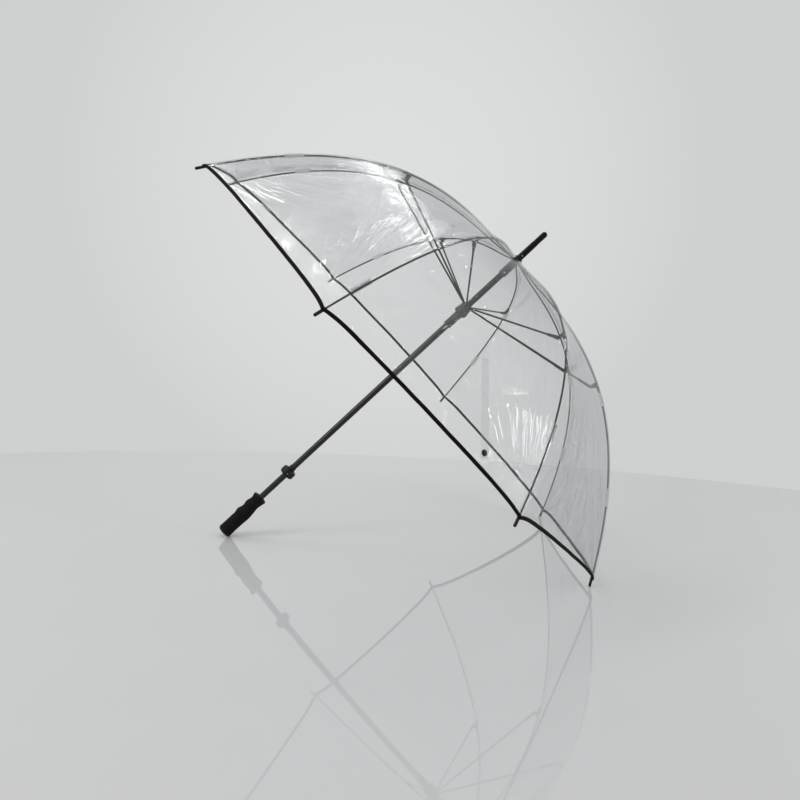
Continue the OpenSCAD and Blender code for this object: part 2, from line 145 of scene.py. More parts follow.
class GripSizes(bpy.types.PropertyGroup):
    top: FloatProperty(name="Grip top", description="Its height along the shaft",
                       default=-0.443, unit="LENGTH")
    cap: size("End cap", "How far the grip's end cap reaches up", 0.006)
    belly: size("Grip radius", "Of its body", 0.0162)
    foot: size("Foot radius", "Where the grip meets its end cap", 0.0165)
    bulge: size("Palm bulge", "Its height round the middle of the grip", 0.0011)
    hollow: size("Thumb hollow", "Its depth on the side of the thumb", 0.0026)
    lip: size("Lip", "How far the grip flares at its top", 0.0012)
    rim: size("Rim", "Radius of the rounded rim at its top", 0.0016)
    wave: size("Finger waves", "Their height on the side of the fingers", 0.0012)
    waves: IntProperty(name="Waves", description="Finger waves in the grip's length", default=4)
    bore: size("Bore", "Radius of the hole for the shaft", 0.00705)


class Finishes(bpy.types.PropertyGroup):
    enamel: colour("Shaft enamel", "Black enamel of the steel tube", "#0b0b0c")
    nylon: colour("Fittings", "Black moulded nylon", "#111112")
    runner: colour("Runner", "Dark grey moulded nylon", "#262628")
    ferrule: colour("Ferrule", "Black moulded nylon", "#060606")
    foam: colour("Grip", "Black foam rubber", "#0c0c0c")
    rod: colour("Ribs", "Black glass-fibre rod", "#070708")
    steel: colour("Steel", "Nickel-plated wire, rivets and catches", "#c4c6c8")
    tape: colour("Hem tape", "Black woven tape", "#060606")
    vinyl: colour("Film", "Clear soft vinyl", "#fafbfb")
    deep_vinyl: colour("Film edge", "Clear vinyl seen along its face", "#d3d7d8")
    haze: colour("Haze", "The faint grey of the film's faces", "#dfe2e2")
    floor: colour("Floor", "Pale grey studio floor", "#c6c6c7")
    air: colour("Backdrop", "The pale light all round", "#dddede")


class StudioSizes(bpy.types.PropertyGroup):
    place: FloatVectorProperty(name="Camera place", description="Where the camera stands",
                               default=(-0.1492, -1.9818, 0.6923), unit="LENGTH")
    azimuth: FloatProperty(name="Azimuth", description="0 looks along +Y",
                           default=math.radians(-4.10), unit="ROTATION")
    elevation: FloatProperty(name="Elevation", description="How far it looks down",
                             default=math.radians(10.04), unit="ROTATION")
    roll: FloatProperty(name="Roll", description="How far it is turned about its view",
                        default=math.radians(3.42), unit="ROTATION")
    lens: FloatProperty(name="Lens", description="Focal length in millimetres", default=39.54)
    floor_radius: size("Floor radius", "Of the round sheet that the umbrella lies on", 4.0, 20.0)
    floor_back: size("Floor back", "How far the sheet reaches behind the umbrella", 0.85, 20.0)
    floor_edge: size("Floor edge", "Radius of the sheet's rounded rim", 0.004)


# ---------------------------------------------------------------- building

def place_object(name, mesh, finish):
    piece = bpy.data.objects.new(name, mesh)
    bpy.context.scene.collection.objects.link(piece)
    mesh.materials.append(finish)
    for face in mesh.polygons:
        face.use_smooth = True
    return piece


def finish_piece(name, bm, where, finish, body, crisp=None):
    """Turns a mesh made about the shaft into a piece at its resting place, riding on a body.
    Edges sharper than `crisp` degrees stay sharp."""
    mesh = bpy.data.meshes.new(name)
    bmesh.ops.transform(bm, matrix=where, verts=bm.verts)
    bm.to_mesh(mesh)
    bm.free()
    piece = place_object(name, mesh, finish)
    if crisp:
        mesh.set_sharp_from_angle(angle=math.radians(crisp))
    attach(piece, body)
    return piece


def mapped_grid(across, along, place, closed=False, capped=False, charts=None):
    """A grid whose corners go to place(u, v), with u and v from 0 to 1. A closed one joins up
    round u. charts holds the piece's UV maps by name, each a function of u and v."""
    bm = bmesh.new()
    bmesh.ops.create_grid(bm, x_segments=across, y_segments=along, size=1.0)
    for name, chart in (charts or {}).items():
        layer = bm.loops.layers.uv.new(name)
        for face in bm.faces:
            for loop in face.loops:
                loop[layer].uv = chart((loop.vert.co.x + 1) / 2, (loop.vert.co.y + 1) / 2)
    for vert in bm.verts:
        vert.co = place((vert.co.x + 1) / 2, (vert.co.y + 1) / 2)
    if closed:
        bmesh.ops.remove_doubles(bm, verts=bm.verts, dist=1e-6)
        if capped:
            bmesh.ops.holes_fill(bm, edges=bm.edges, sides=0)
        bmesh.ops.recalc_face_normals(bm, faces=bm.faces)
    return bm


def dome_height(c, r):
    return c.dome_height * (1 - (r / c.hem_radius) ** c.dome_power)


def rib_height(c, f, r):
    """The dome's height, raised near the crown so that the ribs run up to the notch's pivots."""
    gap = f.notch_height - dome_height(c, f.pivot_radius)
    rise = gap / (1 - f.pivot_radius / f.blend_radius) ** 2
    return dome_height(c, r) + rise * max(0.0, 1 - r / f.blend_radius) ** 2


def rib_frame(c, f, r):
    """A point of the rib's middle line and the direction square to it, as radius and height."""
    half = 0.0005
    climb = rib_height(c, f, r + half) - rib_height(c, f, r - half)
    tangent = Vector((2 * half, climb)).normalized()
    return Vector((r, rib_height(c, f, r))), Vector((-tangent.y, tangent.x))


def hem_at(c, s):
    """The hem's radius, measured along the ribs, at a share s of the way to the next rib."""
    a = abs(s)
    corner_reach = 0.05
    pulled_in = c.corner_pull * (1 - math.exp(-a / corner_reach))
    return c.hem_radius - c.scallop * 4 * a * (1 - a) - pulled_in


def crease(c, gore, u, r):
    """How far the film of a gore stands off its smooth surface. u goes from 0 at one rib to 1 at
    the next. Its parts are fans of pulls out of both corners of the hem, gathers round the crown,
    gathers behind the hem tape, and slow and quick folds over the whole gore. The phases and the
    noise's places only make the gores differ."""
    width = 2 * r * math.sin(STEP / 2)
    hem_width = 2 * c.hem_radius * math.sin(STEP / 2)
    below = c.hem_radius - r
    held = math.sin(math.pi * u) ** 0.6 if 0 < u < 1 else 0.0
    pulls_in_fan, fan_ring, fan_spread = 13, 0.07, 0.085
    crown_reach, hem_reach = 0.06, 0.016
    total = 0.0
    for side, phase in ((u, 1.3 + 2.1 * gore), (1 - u, 0.4 + 3.7 * gore)):
        reach = math.hypot(side * hem_width, below)
        turn = math.atan2(below + 0.004, side * width + 1e-4)
        wander = 3 * noise.noise(Vector((gore, 4 * turn, 8 * reach)))
        fan = math.cos(pulls_in_fan * turn + phase + wander)
        total += 0.9 * fan * hump(reach, fan_ring, fan_spread) * smooth_step(0.005, 0.04, reach)
    crown = math.exp(-r / crown_reach)
    total += 0.8 * crown * math.cos(math.tau * 3 * u + gore)
    gathers = math.exp(-max(0.0, hem_at(c, min(u, 1 - u)) - r) / hem_reach)
    total += 0.35 * gathers * noise.noise(Vector((60 * u * hem_width, gore * 3.1, 5 * r)))
    folds = noise.noise(Vector((5.5 * u + 7.3 * gore, 3.2 * r, 1.7)))
    total += 1.3 * folds * smooth_step(0.05, 0.3, r)
    ripple = noise.noise(Vector((17 * u + 1.9 * gore, 5.0 * r, 9.2)))
    total += 0.45 * ripple * smooth_step(0.08, 0.35, r)
    return c.crease * total * held


def film_point(c, f, k, s, r, lift=0.0):
    """A point of the film that rib k carries, about the shaft with rib k along +X. s is the share
    of the way to the next rib, or below 0 to the one before, and lift goes outwards."""
    a = abs(s)
    gore, u = (k, a) if s >= 0 else ((k - 2) % RIBS + 1, 1 - a)
    off = c.film_gap - c.film_sag * 4 * a * (1 - a) * math.sin(math.pi * r / c.hem_radius)
    middle, normal = rib_frame(c, f, r)
    point = middle + (off + lift + crease(c, gore, u, r)) * normal
    lift_reach = 0.06
    height = point.y + c.crown_lift * max(0.0, 1 - r / lift_reach) ** 2
    return Vector((point.x * (1 - a + a * math.cos(STEP)),
                   math.copysign(point.x * a * math.sin(STEP), s), height))


def film_normals(c, f, k, piece, where, to_share_and_radius):
    """Gives the film the normals of the whole cover, so that its panels meet without a seam."""
    step_s, step_r = 0.002, 0.001  # half the base of each difference quotient
    turn = where.to_3x3()
    normals = []
    for s, r in to_share_and_radius:
        along_s = film_point(c, f, k, s + step_s, r) - film_point(c, f, k, s - step_s, r)
        along_r = film_point(c, f, k, s, r + step_r) - film_point(c, f, k, s, r - step_r)
        normals.append(turn @ along_r.cross(along_s).normalized())
    piece.data.normals_split_custom_set_from_vertices(normals)


# ---------------------------------------------------------------- finishes

def add_node(tree, kind, values=None, links=None, **settings):
    """Adds a node with its settings, its socket values and its incoming links."""
    made = tree.nodes.new(kind)
    for name, value in settings.items():
        setattr(made, name, value)
    for socket, value in (values or {}).items():
        made.inputs[socket].default_value = value
    for socket, source in (links or {}).items():
        tree.links.new(source, made.inputs[socket])
    return made


def per_metre(millimetres):
    """The texture scale at which a pattern repeats over so many millimetres."""
    return 1000 / millimetres


def new_finish(name):
    material = bpy.data.materials.new(name)
    material.use_nodes = True
    material.node_tree.nodes.clear()
    return material, material.node_tree


def show(tree, shader):
    add_node(tree, "ShaderNodeOutputMaterial", links={"Surface": shader})


def moulded(name, tint, roughness, grain_mm, grain_depth, mottle_mm=6.0, mottle=0.12, specular=0.5):
    """A moulded plastic: a fine grain in its surface and a slow change of gloss and shade over it.
    grain_depth is in metres, and mottle is the share by which the shade changes."""
    material, tree = new_finish(name)
    where = add_node(tree, "ShaderNodeTexCoord").outputs["Object"]
    grain = add_node(tree, "ShaderNodeTexNoise", {"Scale": per_metre(grain_mm), "Detail": 3.0},
                     {"Vector": where})
    slow = add_node(tree, "ShaderNodeTexNoise", {"Scale": per_metre(mottle_mm), "Detail": 4.0},
                    {"Vector": where})
    shade = add_node(tree, "ShaderNodeMix", data_type="RGBA")
    shade.inputs[6].default_value = (*[t * (1 - mottle) for t in tint], 1)
    shade.inputs[7].default_value = (*[min(1, t * (1 + 2 * mottle) + 0.001) for t in tint], 1)
    tree.links.new(slow.outputs["Fac"], shade.inputs[0])
    gloss = add_node(tree, "ShaderNodeMapRange",
                     {"To Min": roughness - 0.06, "To Max": roughness + 0.08},
                     {"Value": slow.outputs["Fac"]})
    bump = add_node(tree, "ShaderNodeBump", {"Strength": 1.0, "Distance": grain_depth},
                    {"Height": grain.outputs["Fac"]})
    shader = add_node(tree, "ShaderNodeBsdfPrincipled", {"Specular IOR Level": specular},
                      {"Base Color": shade.outputs[2], "Roughness": gloss.outputs["Result"],
                       "Normal": bump.outputs["Normal"]})
    show(tree, shader.outputs["BSDF"])
    return material


def creased(tree, where):
    """The height of the film's fine creases in metres: long pulls that run down the dome, a fan of
    pulls out of each corner of the hem, and crinkles in patches and round the upper tabs."""
    def noise_over(source, scale, detail=1.0, distortion=0.0):
        turned = add_node(tree, "ShaderNodeMapping", {"Scale": scale}, {"Vector": source})
        return add_node(tree, "ShaderNodeTexNoise",
                        {"Scale": 1.0, "Detail": detail, "Distortion": distortion},
                        {"Vector": turned.outputs[0]}).outputs["Fac"]

    def ramp(source, low, high, start, end):
        return add_node(tree, "ShaderNodeMapRange",
                        {"From Min": low, "From Max": high, "To Min": start, "To Max": end},
                        {"Value": source}, interpolation_type="SMOOTHSTEP").outputs["Result"]

    def joined(operation, *sources):
        return add_node(tree, "ShaderNodeMath", None, dict(enumerate(sources)),
                        operation=operation).outputs[0]

    def times(a, b):
        return joined("MULTIPLY", a, b)

    surface = add_node(tree, "ShaderNodeUVMap", uv_map="Surface").outputs["UV"]
    corner = add_node(tree, "ShaderNodeUVMap", uv_map="Corner").outputs["UV"]
    parts = add_node(tree, "ShaderNodeSeparateXYZ", links={"Vector": surface}).outputs
    share_of_gore, radius = parts["X"], parts["Y"]
    reach = add_node(tree, "ShaderNodeSeparateXYZ", links={"Vector": corner}).outputs["Y"]
    # 45 pulls across a gore of 0.48 m are 11 mm apart at the hem, and 0.22 m long
    pulls = times(noise_over(surface, (45, 4.5, 1), 2.0), ramp(radius, 0.05, 0.5, 0.0001, 0.0005))
    # The fan has 16 pulls to a radian, starts 8 mm from its corner and is gone after 0.30 m
    fan = times(noise_over(corner, (16, 9, 1), 2.0),
                times(ramp(reach, 0.008, 0.04, 0.0, 1.0), ramp(reach, 0.12, 0.30, 0.0020, 0.0)))
    # Crinkles 10 mm apart, up to 2 mm high towards the hem, in patches of about 90 mm
    patches = ramp(noise_over(where, (11, 11, 11), 1.0), 0.42, 0.56, 0.0, 1.0)
    scribble = noise_over(where, (per_metre(10),) * 3, 2.0, 2.2)
    crinkle = times(scribble, times(patches, ramp(radius, 0.34, 0.54, 0.0003, 0.0020)))
    # The upper tabs pinch the film beside each rib
    pinch_radius = 0.36
    past = add_node(tree, "ShaderNodeMath", {1: pinch_radius}, {0: radius}, operation="SUBTRACT")
    apart, aside = joined("ABSOLUTE", past.outputs[0]), joined("ABSOLUTE", share_of_gore)
    pinch = times(ramp(apart, 0.01, 0.045, 0.0018, 0.0), ramp(aside, 0.03, 0.12, 1.0, 0.0))
    return joined("ADD", joined("ADD", pulls, fan), joined("ADD", crinkle, times(scribble, pinch)))


def clear_vinyl(name, look, mirror, haze, film):
    """Calendered clear vinyl: it lets nearly all light through, mirrors bright lamps in long
    streaks, greys towards its silhouette, and its faces carry the faint haze of handling.
    mirror and haze are the shares of light mirrored face-on and scattered."""
    material, tree = new_finish(name)
    edge_mirror, edge_power, tint_power, gloss = 0.8, 5.0, 2.0, 0.035
    where = add_node(tree, "ShaderNodeTexCoord").outputs["Object"]
    roll = add_node(tree, "ShaderNodeTexNoise",
                    {"Scale": per_metre(45), "Detail": 2.0, "Roughness": 0.4}, {"Vector": where})
    bump = add_node(tree, "ShaderNodeBump", {"Strength": 1.0, "Distance": 0.0004},
                    {"Height": roll.outputs["Fac"]})
    if film:
        bump = add_node(tree, "ShaderNodeBump", {"Strength": 1.0, "Distance": 1.0},
                        {"Height": creased(tree, where), "Normal": bump.outputs["Normal"]})
    facing = add_node(tree, "ShaderNodeLayerWeight", {"Blend": 0.5},
                      {"Normal": bump.outputs["Normal"]})
    edge = add_node(tree, "ShaderNodeMath", {1: edge_power}, {0: facing.outputs["Facing"]},
                    operation="POWER")
    gleam = add_node(tree, "ShaderNodeMath", {1: edge_mirror - mirror, 2: mirror},
                     {0: edge.outputs[0]}, operation="MULTIPLY_ADD")
    clouds = add_node(tree, "ShaderNodeTexNoise", {"Scale": per_metre(120), "Detail": 5.0},
                      {"Vector": where})
    milk = add_node(tree, "ShaderNodeMapRange", {"From Min": 0.3, "From Max": 0.8,
                                                 "To Min": haze * 0.6, "To Max": haze * 1.5},
                    {"Value": clouds.outputs["Fac"]})
    deep = add_node(tree, "ShaderNodeMath", {1: tint_power}, {0: facing.outputs["Facing"]},
                    operation="POWER")
    tint = add_node(tree, "ShaderNodeMix", data_type="RGBA", links={0: deep.outputs[0]})
    tint.inputs[6].default_value = (*look.vinyl, 1)
    tint.inputs[7].default_value = (*look.deep_vinyl, 1)
    clear = add_node(tree, "ShaderNodeBsdfTransparent", None, {"Color": tint.outputs[2]})
    dull = add_node(tree, "ShaderNodeBsdfDiffuse", {"Color": (*look.haze, 1)})
    body = add_node(tree, "ShaderNodeMixShader", None,
                    {0: milk.outputs["Result"], 1: clear.outputs[0], 2: dull.outputs[0]})
    mirror_face = add_node(tree, "ShaderNodeBsdfGlossy",
                           {"Color": (1, 1, 1, 1), "Roughness": gloss},
                           {"Normal": bump.outputs["Normal"]})
    shader = add_node(tree, "ShaderNodeMixShader", None,
                      {0: gleam.outputs[0], 1: body.outputs[0], 2: mirror_face.outputs[0]})
    show(tree, shader.outputs[0])
    return material


def plated_steel(name, tint):
    """Nickel-plated spring wire and rivets: bright, with fine lines that soften the gleam."""
    material, tree = new_finish(name)
    where = add_node(tree, "ShaderNodeTexCoord").outputs["Object"]
    lines = add_node(tree, "ShaderNodeTexNoise", {"Scale": per_metre(0.8), "Detail": 3.0},
                     {"Vector": where})
    gloss = add_node(tree, "ShaderNodeMapRange", {"To Min": 0.22, "To Max": 0.4},
                     {"Value": lines.outputs["Fac"]})
    bump = add_node(tree, "ShaderNodeBump", {"Strength": 0.6, "Distance": 0.00003},
                    {"Height": lines.outputs["Fac"]})
    shader = add_node(tree, "ShaderNodeBsdfPrincipled", {"Base Color": (*tint, 1), "Metallic": 1.0},
                      {"Roughness": gloss.outputs["Result"], "Normal": bump.outputs["Normal"]})
    show(tree, shader.outputs["BSDF"])
    return material


def woven_tape(name, tint):
    """Black polyester tape: matt, with crossing threads 0.8 mm apart, drawn coarser than the real
    0.4 mm so that the weave shows."""
    thread = per_metre(0.8) / math.tau * 2
    material, tree = new_finish(name)
    surface = add_node(tree, "ShaderNodeUVMap", uv_map="Surface").outputs["UV"]
    warp, weft = (add_node(tree, "ShaderNodeTexWave", {"Scale": thread}, {"Vector": surface},
                           wave_type="BANDS", bands_direction=way) for way in "XY")
    weave = add_node(tree, "ShaderNodeMath", None, {0: warp.outputs["Fac"], 1: weft.outputs["Fac"]},
                     operation="MAXIMUM")
    shade = add_node(tree, "ShaderNodeMix", data_type="RGBA", links={0: weave.outputs[0]})
    shade.inputs[6].default_value = (*[t * 0.5 for t in tint], 1)
    shade.inputs[7].default_value = (*[t * 1.6 for t in tint], 1)
    bump = add_node(tree, "ShaderNodeBump", {"Strength": 0.8, "Distance": 0.0002},
                    {"Height": weave.outputs[0]})
    shader = add_node(tree, "ShaderNodeBsdfPrincipled",
                      {"Roughness": 0.8, "Specular IOR Level": 0.12},
                      {"Base Color": shade.outputs[2], "Normal": bump.outputs["Normal"]})
    show(tree, shader.outputs["BSDF"])
    return material


def finish_named(name):
    """One material of the umbrella, made at its first use."""
    if name in bpy.data.materials:
        return bpy.data.materials[name]
    look = bpy.context.scene.umbrella_finishes
    makers = {
        # Painted steel: near-black enamel, glossy, with the faint orange peel of sprayed paint
        "Enamelled_Steel": (moulded, look.enamel, 0.24, 1.6, 0.00001, 6.0, 0.12, 0.45),
        # Glass-filled nylon: satin, with a fine spark-eroded grain
        "Moulded_Nylon": (moulded, look.nylon, 0.42, 0.6, 0.00003, 6.0, 0.12, 0.25),
        "Grey_Nylon": (moulded, look.runner, 0.4, 0.6, 0.00003),
        "Ferrule_Nylon": (moulded, look.ferrule, 0.36, 0.6, 0.00003, 6.0, 0.12, 0.15),
        # Foam rubber: matt, with pores of about a millimetre that break up any gleam
        "Foam_Rubber": (moulded, look.foam, 0.74, 0.9, 0.00016, 9.0, 0.2, 0.15),
        # Pultruded glass fibre: black resin, half glossy
        "Glass_Fibre_Rod": (moulded, look.rod, 0.3, 0.7, 0.00002, 6.0, 0.12, 0.15),
        "Plated_Steel": (plated_steel, look.steel),
        # The film's creases are in its material only where it has the maps for them
        "Clear_Vinyl_Film": (clear_vinyl, look, 0.05, 0.03, True),
        "Welded_Vinyl": (clear_vinyl, look, 0.05, 0.04, False),
        # Tabs and the socket: the same vinyl, thicker and gone milky
        "Milky_Vinyl": (clear_vinyl, look, 0.08, 0.65, False),
        "Woven_Tape": (woven_tape, look.tape),
    }
    maker, *values = makers[name]
    return maker(name, *values)


# ---------------------------------------------------------------- operators

class UMBRELLA_OT_stage(bpy.types.Operator):
    """Makes the camera, the round glossy floor, the soft lights and the pale air all round"""
    bl_idname = "umbrella.stage"
    bl_label = "Stage"

    def execute(self, context):
        s = context.scene.umbrella_studio
        camera = bpy.data.objects.new("Camera", bpy.data.cameras.new("Camera"))
        context.scene.collection.objects.link(camera)
        context.scene.camera = camera
        camera.data.lens = s.lens
        camera.data.sensor_width = 36
        camera.data.clip_end = 50
        back = Vector((math.sin(s.azimuth) * math.cos(s.elevation),
                       -math.cos(s.azimuth) * math.cos(s.elevation), math.sin(s.elevation)))
        right = Vector((0, 0, 1)).cross(back).normalized()
        turn = Matrix((right, back.cross(right), back)).transposed().to_4x4()
        camera.matrix_world = (Matrix.Translation(Vector(s.place)) @ turn
                               @ Matrix.Rotation(s.roll, 4, "Z"))
        self.floor(context, s)
        self.lights(context)
        context.scene.view_settings.view_transform = "Standard"
        return {"FINISHED"}

    def floor(self, context, s):
        """A round sheet of glossy acrylic with a rounded rim. Its top is the floor at height 0."""
        bm = bmesh.new()
        rim_steps, round_steps = 6, 256
        turns = [math.pi / 2 * i / rim_steps for i in range(rim_steps + 1)]
        flat = s.floor_radius - s.floor_edge
        rim = [(flat + s.floor_edge * math.sin(a), s.floor_edge * (math.cos(a) - 1))
               for a in turns]
        row = [bm.verts.new((x, 0, z)) for x, z in [(0.0, 0.0), *rim]]
        for pair in zip(row, row[1:]):
            bm.edges.new(pair)
        bmesh.ops.spin(bm, geom=bm.verts[:] + bm.edges[:], cent=(0, 0, 0), axis=(0, 0, 1),
                       angle=math.tau, steps=round_steps, use_merge=True)
        bmesh.ops.remove_doubles(bm, verts=bm.verts, dist=1e-5)
        bmesh.ops.translate(bm, verts=bm.verts, vec=(0, s.floor_back - s.floor_radius, 0))
        bmesh.ops.recalc_face_normals(bm, faces=bm.faces)
        mesh = bpy.data.meshes.new("Floor")
        bm.to_mesh(mesh)
        bm.free()
        material, tree = new_finish("Studio_Floor")
        # Glossy acrylic: it carries a faint mirror image of what stands on it
        shader = add_node(tree, "ShaderNodeBsdfPrincipled",
                          {"Base Color": (*context.scene.umbrella_finishes.floor, 1),
                           "Roughness": 0.02, "Specular IOR Level": 0.8})
        show(tree, shader.outputs["BSDF"])
        place_object("Floor", mesh, material)

    def lights(self, context):
        """Long soft boxes round the canopy: name, azimuth and elevation in degrees, distance,
        width, length, watts and the point it faces. An azimuth of 0 is along +Y, 90 along +X."""
        boxes = (("Back_Strip", -38, 61, 3.0, 0.13, 1.8, 15, (-0.25, -0.3, 0.75)),
                 ("High_Strip", 20, 54, 3.0, 0.07, 1.8, 8, (-0.1, -0.2, 0.8)),
                 ("Right_Strip", 97, 13, 2.8, 0.24, 1.4, 20, (0.12, -0.5, 0.35)),
                 ("Left_Box", -118, 38, 3.2, 0.8, 1.6, 30, (0.0, 0.0, 0.4)),
                 ("Crown_Box", 68, 50, 3.2, 0.08, 0.8, 4.5, (0.3, -0.2, 0.6)))
        for name, azimuth, elevation, distance, width, length, watts, target in boxes:
            lamp = bpy.data.lights.new(name, "AREA")
            lamp.shape = "RECTANGLE"
            lamp.size, lamp.size_y, lamp.energy = width, length, watts
            box = bpy.data.objects.new(name, lamp)
            context.scene.collection.objects.link(box)
            turn, lift = math.radians(azimuth), math.radians(elevation)
            away = Vector((math.sin(turn) * math.cos(lift), math.cos(turn) * math.cos(lift),
                           math.sin(lift)))
            box.location = Vector(target) + distance * away
            box.rotation_euler = away.to_track_quat("Z", "Y").to_euler()
            box.visible_camera = False
        world = bpy.data.worlds.new("Studio_Air")
        context.scene.world = world
        world.use_nodes = True
        air = world.node_tree
        # A soft pool of light behind the umbrella, which fades within 20 degrees of its middle
        pool_middle, pool_edge, dimmest = Vector((0.04, 1.0, 0.06)).normalized(), 0.94, 0.86
        look = add_node(air, "ShaderNodeTexCoord").outputs["Generated"]
        pool = add_node(air, "ShaderNodeVectorMath", {1: pool_middle}, {0: look},
                        operation="DOT_PRODUCT")
        fade = add_node(air, "ShaderNodeMapRange",
                        {"From Min": pool_edge, "From Max": 1.0, "To Min": dimmest, "To Max": 1.0},
                        {"Value": pool.outputs["Value"]})
        background = air.nodes["Background"].inputs
        background["Color"].default_value = (*context.scene.umbrella_finishes.air, 1)
        air.links.new(fade.outputs["Result"], background["Strength"])


def soften(node):
    """Shades a CAD node's round faces smoothly and keeps its corners crisp."""
    crisp = math.radians(32)
    for face in node.data.polygons:
        face.use_smooth = True
    weld = node.modifiers.new("Weld", "WELD")
    weld.merge_threshold = 1e-6
    split = node.modifiers.new("Corners", "EDGE_SPLIT")
    split.split_angle = crisp


class UMBRELLA_OT_fittings(bpy.types.Operator):
    """Gives the shaft, its fittings, catches, rings and rivets their finishes"""
    bl_idname = "umbrella.fittings"
    bl_label = "Shaft and fittings"

    def execute(self, context):
        finishes = {
            "shaft": "Enamelled_Steel", "stop_disc": "Moulded_Nylon", "runner": "Grey_Nylon",
            "top_notch": "Grey_Nylon", "crown_washer": "Moulded_Nylon", "ferrule": "Ferrule_Nylon",
            "ferrule_pin": "Plated_Steel", "notch_wire": "Plated_Steel", "notch_pin": "Plated_Steel",
            "stop_pin": "Plated_Steel", "top_spring": "Plated_Steel", "bottom_spring": "Plated_Steel",
            "runner_wire": "Plated_Steel", "grip_plug": "Moulded_Nylon",
        }
        for k in range(1, RIBS + 1):
            for rod in ("inner_rib", "outer_rib", "stretcher"):
                finishes[f"{rod}_{k}"] = "Glass_Fibre_Rod"
            finishes[f"rib_tip_{k}"] = "Moulded_Nylon"
        for name, finish in finishes.items():
            node = frame["nodes"][name]
            node.data.materials.clear()
            node.data.materials.append(finish_named(finish))
            soften(node)
        return {"FINISHED"}


class UMBRELLA_OT_grip(bpy.types.Operator):
    """Builds the moulded grip, with finger waves on one side and a thumb hollow on the other"""
    bl_idname = "umbrella.grip"
    bl_label = "Grip"

    def execute(self, context):
        g = context.scene.umbrella_grip
        low = GRIP_END_Z + g.cap
        length = g.top - low

        def radius(t, turn):
            fingers = max(0.0, -math.cos(turn))
            thumb = max(0.0, math.cos(turn))
            # t runs from 0 at the end cap to 1 at the top: the waves fill its upper half
            wave = g.wave * math.cos(math.tau * g.waves * t) * fingers * smooth_step(0.25, 0.5, t)
            bulge = g.bulge * hump(t, 0.5, 0.12)
            hollow = -g.hollow * thumb * hump(t, 0.8, 0.13)
            foot = (g.foot - g.belly) * math.exp(-t / 0.06)
            head = g.lip * math.exp(-(1 - t) / 0.03)
            return g.belly + wave + bulge + hollow + foot + head

        side_share, rim_share = 0.9, 0.05
        rim_from = 1 - g.rim / length

        def skin(u, v):
            # v runs up the outside, over the rounded rim and across the top to the bore
            turn = math.tau * u
            if v < side_share:
                t = v / side_share
                r = radius(t * rim_from, turn)
                z = low + t * (length - g.rim)
            elif v < side_share + rim_share:
                a = (v - side_share) / rim_share * math.pi / 2
                r = radius(rim_from, turn) - g.rim * (1 - math.cos(a))
                z = low + length - g.rim + g.rim * math.sin(a)
            else:
                flat = radius(rim_from, turn) - g.rim - g.bore
                r = g.bore + flat * (1 - v) / (1 - side_share - rim_share)
                z = low + length
            return Vector((r * math.cos(turn), r * math.sin(turn), z))

        bm = mapped_grid(72, 160, skin, closed=True)
        foam = finish_named("Foam_Rubber")
        piece = finish_piece("Grip_Foam", bm, LIE, foam, "stick")
        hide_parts("grip")
        return {"FINISHED"}


class UMBRELLA_OT_film(bpy.types.Operator):
    """Builds the clear film as one smooth cover, cut into the two parts that each rib carries"""
    bl_idname = "umbrella.film"
    bl_label = "Clear film"

    def execute(self, context):
        c, f = context.scene.umbrella_canopy, context.scene.umbrella_frame
        in_tape = 0.001  # the film ends this far inside the tape's edge
        for k in range(1, RIBS + 1):
            inner = self.panel(c, f, k, f"Film_Inner_{k}", f"inner_rib_{k}", 36, 56,
                               lambda s: (c.film_from, f.flex_radius))
            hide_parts(f"canopy_panel_{k}")
            outer = self.panel(c, f, k, f"Film_Outer_{k}", f"outer_rib_{k}", 72, 80,
                               lambda s: (f.flex_radius, hem_at(c, s) - in_tape))
            for piece in (inner, outer):
                flatten(piece)
        return {"FINISHED"}

    def panel(self, c, f, k, name, body, across, along, reach):
        """The film between two circles, half a gore to each side of rib k. reach(s) gives their
        radii."""
        places = []

        def share_and_radius(u, v):
            low, high = reach(u - 0.5)
            return u - 0.5, low + (high - low) * v

        def from_corner(u, v):
            s, r = share_and_radius(u, v)
            sideways, below = 2 * s * r * math.sin(STEP / 2), c.hem_radius - r
            return math.atan2(sideways, below + 0.003), math.hypot(sideways, below)

        def skin(u, v):
            places.append(share_and_radius(u, v))
            return film_point(c, f, k, *places[-1])

        bm = mapped_grid(across, along, skin,
                         charts={"Surface": share_and_radius, "Corner": from_corner})
        bmesh.ops.reverse_faces(bm, faces=bm.faces)
        finish = finish_named("Clear_Vinyl_Film")
        piece = finish_piece(name, bm, at_rib(k), finish, body)
        film_normals(c, f, k, piece, at_rib(k), places)
        return piece


def flatten(piece):
    """Gives the piece a mesh of its own."""
    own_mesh(piece)


class UMBRELLA_OT_hem(bpy.types.Operator):
    """Builds the black tape that binds the hem, one length to each rib"""
    bl_idname = "umbrella.hem"
    bl_label = "Bound hem"

    def execute(self, context):
        c, f = context.scene.umbrella_canopy, context.scene.umbrella_frame
        half_w, half_t = c.tape_width / 2, c.tape_thickness / 2
        span = 2 * c.hem_radius * math.sin(STEP / 2)
        for k in range(1, RIBS + 1):
            def skin(u, v):
                s, turn = v - 0.5, math.tau * u
                wide = boxed(math.cos(turn), 0.7) * half_w
                thick = boxed(math.sin(turn), 0.7) * half_t
                return film_point(c, f, k, s, hem_at(c, s) - half_w + wide, thick)

            bm = mapped_grid(20, 120, skin, closed=True, capped=True,
                             charts={"Surface": lambda u, v: (2 * c.tape_width * u, span * v)})
            piece = finish_piece(f"Hem_Tape_{k}", bm, at_rib(k), finish_named("Woven_Tape"),
                                 f"outer_rib_{k}")
            flatten(piece)
        return {"FINISHED"}


